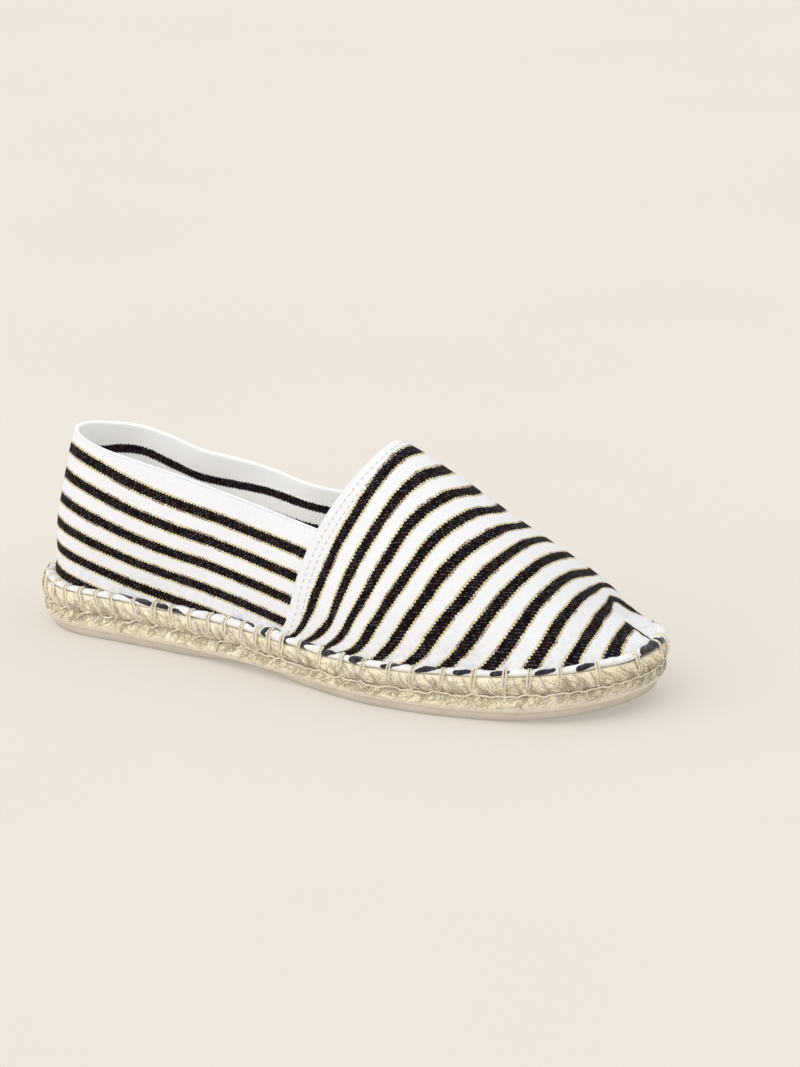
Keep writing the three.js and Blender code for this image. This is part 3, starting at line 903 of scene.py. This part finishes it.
# Dark patches of the roll, each a bent line of points: millimetres along the edge, share of the way over the
# roll from its lower edge to its inner crease, and half width in millimetres
ROLL_PATCHES = (
    ((6, 0.32, 0.9), (12, 0.34, 1.4), (18.5, 0.26, 1)),
    ((23, 0.18, 0.5), (29, 0.10, 0.8), (36, 0.04, 0.5)),
    ((39, 0.14, 0.4), (42.5, 0.08, 0.5)),
    ((58, 0.90, 0.3), (64, 0.78, 0.5), (69, 0.66, 0.9)),
    ((70, 0.70, 1), (74, 0.58, 1.4), (78, 0.44, 1.1)),
    ((79.5, 0.52, 1.1), (83, 0.42, 1.3), (86, 0.30, 0.9)),
    ((86.8, 0.36, 1), (90, 0.26, 1.1), (93.5, 0.10, 0.5)),
    ((96.5, 0.16, 0.4), (99.5, 0.08, 0.4)),
    ((112, 0.92, 0.4), (115.5, 0.86, 0.8), (119, 0.76, 0.5)),
    ((119.5, 0.84, 0.4), (122.5, 0.74, 0.7), (124.5, 0.62, 0.4)),
    ((138.5, 0.98, 0.4), (134.5, 0.86, 0.9), (131.2, 0.66, 1), (130.4, 0.34, 1), (131.5, 0.10, 0.7)),
    ((148.5, 0.98, 0.5), (144, 0.84, 1.1), (140.3, 0.62, 1.3), (140, 0.32, 1.2), (141.5, 0.10, 0.8)),
    ((160, 0.96, 0.4), (154, 0.80, 1), (149.2, 0.60, 1.4), (148.8, 0.30, 1.3), (150, 0.10, 0.9)),
    ((171, 0.92, 0.4), (165.5, 0.74, 1.2), (161, 0.48, 1.9), (160.5, 0.22, 1.2)),
    ((182, 0.86, 0.5), (177.5, 0.66, 1.2), (174, 0.40, 1.7), (174.5, 0.14, 1)),
    ((194.5, 0.74, 0.4), (190, 0.52, 1), (187, 0.28, 1.2)),
    ((208, 0.62, 0.7), (203, 0.42, 1.4), (200.5, 0.26, 1)),
    ((220, 0.54, 0.8), (215.5, 0.34, 1.4)),
    ((234, 0.50, 0.7), (229, 0.30, 1.4)),
    ((250.5, 0.52, 0.9), (245.5, 0.30, 1.4)),
    ((265.5, 0.58, 0.9), (260.5, 0.34, 1.5)),
    ((284, 0.10, 0.9), (279, 0.06, 0.6), (276, 0.04, 0.3)),
    ((297.5, 0.62, 2), (292, 0.48, 2.6), (288.5, 0.34, 2), (287, 0.18, 1)),
)
PATCH_SPREAD = 1.2
# The roll's height and width as shares of its full size, by millimetres along the edge from the heel
ROLL_SIZES = {
    "at": (0, 20, 45, 75, 110, 133, 150, 200, 285, 297),
    "high": (0.64, 0.62, 0.60, 0.70, 0.86, 1.0, 0.92, 0.78, 0.82, 0.98),
    "wide": (1.0, 0.96, 0.84, 0.84, 0.92, 1.0, 0.96, 0.92, 0.92, 0.98),
}


def roll_size(u):
    """Half of the roll's width and half of its height at places along the ring."""
    from_heel = edge.from_heel(u)
    tight = pulled(u, 1.25)
    loose = 0.5 + 0.5 * np.sin(u * 0.9 + 1.7 * np.sin(u * 0.23))
    plump = 1.0 + 0.10 * loose - 0.20 * tight
    plump = plump + 0.22 * bell(from_heel - 133, 3.0) - 0.16 * bell(from_heel - 126, 4.0)
    across = HEM_WIDTH / 2 * (0.96 + 0.05 * loose - 0.08 * tight) * column(ROLL_SIZES, "wide", from_heel)
    return across, HEM_HEIGHT / 2 * plump * column(ROLL_SIZES, "high", from_heel)


def hem():
    around, sides = 1500, 30
    u = np.linspace(0, edge.length, around, endpoint=False)[:, None]
    turn = np.arange(sides) * 2 * np.pi / sides
    across, up = roll_size(u)
    middle = HEM_INSET + HEM_WIDTH / 2 + 0.25 * np.sin(u * 0.31) - 0.2 * bell(u - edge.toe, 26)
    base = sole_top(edge.x(u)) + GAP + up - 0.15 + 0.12 * np.sin(u * 0.21 + 2)
    inset, z = middle - across * np.cos(turn), base + up * np.sin(turn)
    points = edge.place(u, inset, z)
    # how far round the roll: 0 by its lower edge and 1 in the crease against the upper
    share = unit((np.mod(turn + np.pi / 2, 2 * np.pi) / np.pi - 0.15) / 1.15)
    arc = 7.0  # millimetres over the roll
    ink = np.full(inset.shape, 5.0)
    from_heel = edge.from_heel(u)
    for patch in ROLL_PATCHES:
        for (u0, t0, r0), (u1, t1, r1) in zip(patch, patch[1:]):
            du, dv = u1 - u0, (t1 - t0) * arc
            pu, pv = from_heel - u0, (share - t0) * arc
            along = unit((pu * du + pv * dv) / (du * du + dv * dv))
            away = np.hypot(pu - along * du, pv - along * dv) - PATCH_SPREAD * (r0 + (r1 - r0) * along)
            ink = np.minimum(ink, away)
    # where the roll takes painted shade: in its crease against the upper, and where the stitches pull it
    crease = np.maximum(unit((share - 0.86) / 0.14), 0.6 * pulled(u, 1.25) * (share < 0.8))
    faces = grid_faces(around, sides, True, True)[:, ::-1]
    return make_mesh("rolled_hem", points, faces, cloth_roll, {"ink": ink, "crease": crease})


rolled_hem = hem()

# The jute braid

STRAND_PITCH = 6.0
STRAND_SLANT = 5.2  # how far a strand moves along the edge over half of the sole's height
STRAND_DEPTH = 0.95
BRAID_HEIGHT = 16.7  # from which the fibres take their size


def jute_profile(share):
    """How far the sole's side lies inside its outline, from its foot, 0, to its top, 1."""
    lower = np.sqrt(unit(1 - ((share - 0.24) / 0.27) ** 2))
    upper = np.sqrt(unit(1 - ((share - 0.76) / 0.27) ** 2))
    return np.where(share < 0.5, 2.9 - 2.1 * lower, 2.3 - 2.2 * upper)


def braid():
    u, share = np.meshgrid(paired_steps(700), np.linspace(0, 1, 44))
    x = edge.x(u)
    low, high = spring(x) + RUBBER - 0.2, sole_top(x) + 0.2
    upper_row = share > 0.5
    lean = np.where(upper_row, 1.0, -1.0) * (share - 0.5) * 2 * STRAND_SLANT
    phase = u / edge.length * round(edge.length / STRAND_PITCH)
    wobble = 0.16 * np.sin(phase * 1.7 + 0.6) + 0.12 * np.sin(phase * 4.1)
    strand = phase + wobble + lean / STRAND_PITCH + np.where(upper_row, 0.0, 0.5)
    part = strand - np.floor(strand)
    hump = np.sqrt(unit(1 - (2 * part - 1) ** 2))
    index = np.floor(strand).astype(int) * 2 + upper_row
    # each strand has its own thickness
    fat = 0.85 + 0.3 * np.abs(np.sin(index * 12.9898) * 43758.5453 % 1.0)
    along = share * BRAID_HEIGHT + index * 17.3
    # a few yarns in each strand
    yarn = np.abs(np.sin((part + 0.05 * np.sin(along * 0.6)) * np.pi * 4.0))
    fade = np.sin(np.pi * unit(np.where(upper_row, share - 0.5, share) * 2)) ** 0.5
    # the rubber climbs over the strands, more at the toe
    coated = share / (0.20 + 0.30 * unit((x - 205) / 45))
    relief = STRAND_DEPTH * (1 - hump * fat) * (0.35 + 0.65 * fade) - 0.25 * yarn * hump
    inset = jute_profile(share) + relief * (1 - 0.85 * unit(1.3 - coated))
    inset = np.clip(inset, -0.6, 6.0)
    # how deep a point lies, for the jute's painted shade: in the gaps between the strands, and along the
    # middle where the two rows meet
    deep = unit((inset - jute_profile(share)) / 1.2) * 0.8 + 0.9 * bell(share - 0.5, 0.035)
    values = {
        "across": (part - 0.5) * STRAND_PITCH * 0.78 + 0.22 * share * BRAID_HEIGHT + index * 5.1,
        "along": along,
        "deep": unit(deep),
        "rubbered": unit(1.15 - coated),
    }
    return block("jute_braid", edge.place(u, inset, low + (high - low) * share), jute, values)


jute_braid = braid()


def hairs():
    """Loose fibres on the braid: short, thin and mostly along the strands."""
    paths, radii = [], []
    s = np.linspace(0, 1, 7)
    count = 3600
    for _ in range(count):
        u = random.uniform(0, edge.length)
        share = random.choice([random.uniform(0.12, 0.5), random.uniform(0.5, 0.98)])
        long = random.uniform(2.0, 7.5)
        way = (1 if share < 0.5 else -1) * random.normal(0.75, 0.45)
        bend = random.normal(0, 0.35) * s**2
        lift = random.uniform(0.15, 0.9) * random.random() ** 2 + 0.12
        u = u + s * long * math.cos(way) + bend
        share = np.clip(share + (s * long * math.sin(way) + bend) / JUTE, 0.06, 0.97)
        x = edge.x(u)
        low, high = spring(x) + RUBBER, sole_top(x) + 0.2
        inset = jute_profile(share) - lift * np.sin(np.pi * s) ** 0.8 - 0.05
        paths.append(edge.place(u, inset, low + (high - low) * share))
        radii.append(random.uniform(0.06, 0.125) * (1 - 0.5 * s))
    return threads("jute_hairs", jute_hair, paths, radii, 3)


jute_hairs = hairs()

# Blanket stitches and the running thread


def groove_height(u):
    x = edge.x(u)
    return spring(x) + RUBBER + (sole_top(x) - spring(x) - RUBBER) * 0.56


def blanket_stitches():
    """Threads from the upper's foot, over the roll, round a loop in the groove and back beside themselves."""
    paths, radii = [], []
    over = 3.2  # from the outline in to the top of the roll
    for u, lean in zip(STITCHES, STITCH_LEAN):
        top, groove = float(sole_top(edge.x(u))), float(groove_height(u)) + 0.5
        gape = 0.55 + 0.28 * random.random()
        loop = random.uniform(0.45, 0.8)
        halfway = (top + groove) / 2
        groove = groove + random.normal(0, 0.4)
        wide, tall = roll_size(u)
        wide, tall = wide / (HEM_WIDTH / 2) + 0.06, tall / (HEM_HEIGHT / 2) + 0.06
        # one leg down to the loop, as rows of half the space between the legs, place along, inset and height
        leg = np.array([
            (0.4 * gape, 0.0, 6.4, top + 2.2 * tall),
            (0.5 * gape, 0.0, over + 1.8 * wide, top + 3.5 * tall),
            (0.6 * gape, 0.0, over, top + 4.0 * tall),
            (0.7 * gape, 0.0, over - 1.9 * wide, top + 3.4 * tall),
            (0.8 * gape, 0.0, over - 2.95 * wide, top + 1.9 * tall),
            (0.9 * gape, 0.3 * lean, 0.0, top - 0.3),
            (0.6 * gape, 0.6 * lean, -0.45, halfway),
            (0.6 * loop, 0.9 * lean, 0.1, groove + 1.4),
            (0.7 * loop, lean, 0.6, groove + 0.2),
        ])
        legs = [np.c_[leg[:, 1] + way * leg[:, 0], leg[:, 2:]] for way in (-1, 1)]
        # the second leg goes back into the upper a little nearer
        legs[1][0, 0] = 0.3 * gape
        table = smooth_path(np.concatenate([legs[0], [(lean, 0.5, groove - 0.7)], legs[1][::-1]]), 62)
        paths.append(edge.place(u + table[:, 0], table[:, 1], table[:, 2]))
        radii.append(random.uniform(0.30, 0.37))
    return threads("blanket_stitches", cream_thread, paths, radii, 8)


def running_thread():
    """One thread in the groove, caught up by every blanket stitch, and looser behind."""
    u = np.linspace(0, edge.length, 1500, endpoint=False)
    knots = STITCHES + STITCH_LEAN
    to_knot = np.abs(np.mod(u[:, None] - knots + edge.length / 2, edge.length) - edge.length / 2).min(1)
    behind = unit((135 - edge.from_heel(u)) / 25)
    z = groove_height(u) - 0.6 - 0.5 * unit(to_knot / 4.5) ** 2
    z = z + 0.25 * np.sin(u * 0.37) + 0.18 * np.sin(u * 1.31 + 1) + behind * 0.7 * np.sin(u * 0.62 + 1.0)
    inset = 0.55 + 0.25 * np.sin(u * 0.83) + 0.3 * unit(1 - to_knot / 2.0)
    inset = inset + behind * (0.7 + 0.8 * np.sin(u * 0.61))
    return threads("running_thread", cream_thread, [edge.place(u, inset, z)], [0.34], 8, closed=True)


blanket = blanket_stitches()
runner = running_thread()

# The rubber outsole and the insole

# Inset from the outline, and share of the way up from the underside
OUTSOLE_PROFILE = (
    (6.5, 0.0), (5.4, 0.0), (4.5, 0.0), (3.95, 0.05), (3.65, 0.18),
    (3.45, 0.4), (3.1, 0.65), (2.75, 0.9), (2.75, 1.0), (3.6, 1.0),
)
# Inset from the outline, and height over the jute
INSOLE_PROFILE = ((8.7, 0.3), (8.55, 1.2), (8.6, 1.9), (9.2, 2.25), (10.5, 2.3))


def outsole():
    u = paired_steps(300)
    x = edge.x(u)
    under = arch(x) + spring(x)
    thick = spring(x) + RUBBER - under
    levels = [edge.place(u, inset, under + thick * up) for inset, up in OUTSOLE_PROFILE]
    share = np.repeat([up for _, up in OUTSOLE_PROFILE], len(u))
    # low sets the rubber's painted shade: full at the underside, gone five eighths of the way up
    values = {"low": 1.0 - np.minimum(share * 1.6, 1.0), "under": share == 0.0}
    return block("rubber_outsole", np.stack(levels), rubber, values)


def insole():
    u = paired_steps(200)
    levels = [edge.place(u, inset, sole_top(edge.x(u)) + up) for inset, up in INSOLE_PROFILE]
    return block("insole_cloth", np.stack(levels), insole_cloth)


rubber_outsole = outsole()
insole_sock = insole()

# What rides on the root, and the solids it replaces

for piece, node, slot in (
    (quarter_cloth, "upper", "upper_canvas"),
    (rolled_hem, "upper", "upper_canvas"),
    (blanket, "upper", "upper_canvas"),
    (panel_cloth, "front_panel", "front_canvas"),
    (panel_stitch_rows, "front_panel", "front_canvas"),
    (jute_braid, "jute_sole", "jute_braid"),
    (jute_hairs, "jute_sole", "jute_braid"),
    (runner, "jute_sole", "jute_braid"),
    (rubber_outsole, "outsole", "outsole_rubber"),
    (insole_sock, "insole", "insole_cloth"),
):
    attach(piece, "root")
    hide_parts(node)

# Floor, light and camera

FLOOR_HALF = 9000.0


def floor():
    corners = np.array([(-1, -1, 0), (1, -1, 0), (1, 1, 0), (-1, 1, 0)]) * FLOOR_HALF
    obj = make_mesh("floor", corners + SHIFT, np.array([(0, 1, 2, 3)]), floor_paint)


def lights():
    world = bpy.data.worlds.new("studio")
    world.use_nodes = True
    background = world.node_tree.nodes["Background"]
    background.inputs["Color"].default_value = (0.985, 0.99, 1.0, 1.0)
    background.inputs["Strength"].default_value = 0.80
    bpy.context.scene.world = world
    for name, energy, spread, towards in (
        ("key", 1.15, 60, (0.42, 0.80, -0.78)),
        ("top", 0.45, 90, (-0.2, -0.1, -1.0)),
    ):
        data = bpy.data.lights.new(name, "SUN")
        data.energy = energy
        data.angle = math.radians(spread)
        direction = np.array(towards) / np.linalg.norm(towards)
        turn = (0.0, -math.acos(-direction[2]), math.atan2(direction[1], direction[0]))
        placed(name, data).rotation_euler = turn


def camera():
    """The photograph's view: fitted to the shoe's outline in a frame of 800 by 1067."""
    width, height = 800.0, 1067.0
    azimuth, elevation = math.radians(29.04), math.radians(18.33)
    distance, pixels_per_mm, film = 1500.0, 2.68, 36.0
    aim, aim_pixel = np.array([127.0, 0.0, 25.0]), (342.0, 594.0)
    flat = math.cos(elevation)
    away = np.array([math.sin(azimuth) * flat, -math.cos(azimuth) * flat, math.sin(elevation)])
    data = bpy.data.cameras.new("camera")
    data.sensor_width = film
    data.lens = pixels_per_mm * distance / height * film
    data.shift_x = (width / 2 - aim_pixel[0]) / height
    data.shift_y = (aim_pixel[1] - height / 2) / height
    data.clip_end = 50.0
    obj = placed("camera", data)
    obj.location = (aim + away * distance - SHIFT) * 0.001
    obj.rotation_euler = (math.pi / 2 - elevation, 0.0, azimuth)
    bpy.context.scene.camera = obj


floor()
lights()
camera()
bpy.context.scene.view_settings.view_transform = "Standard"
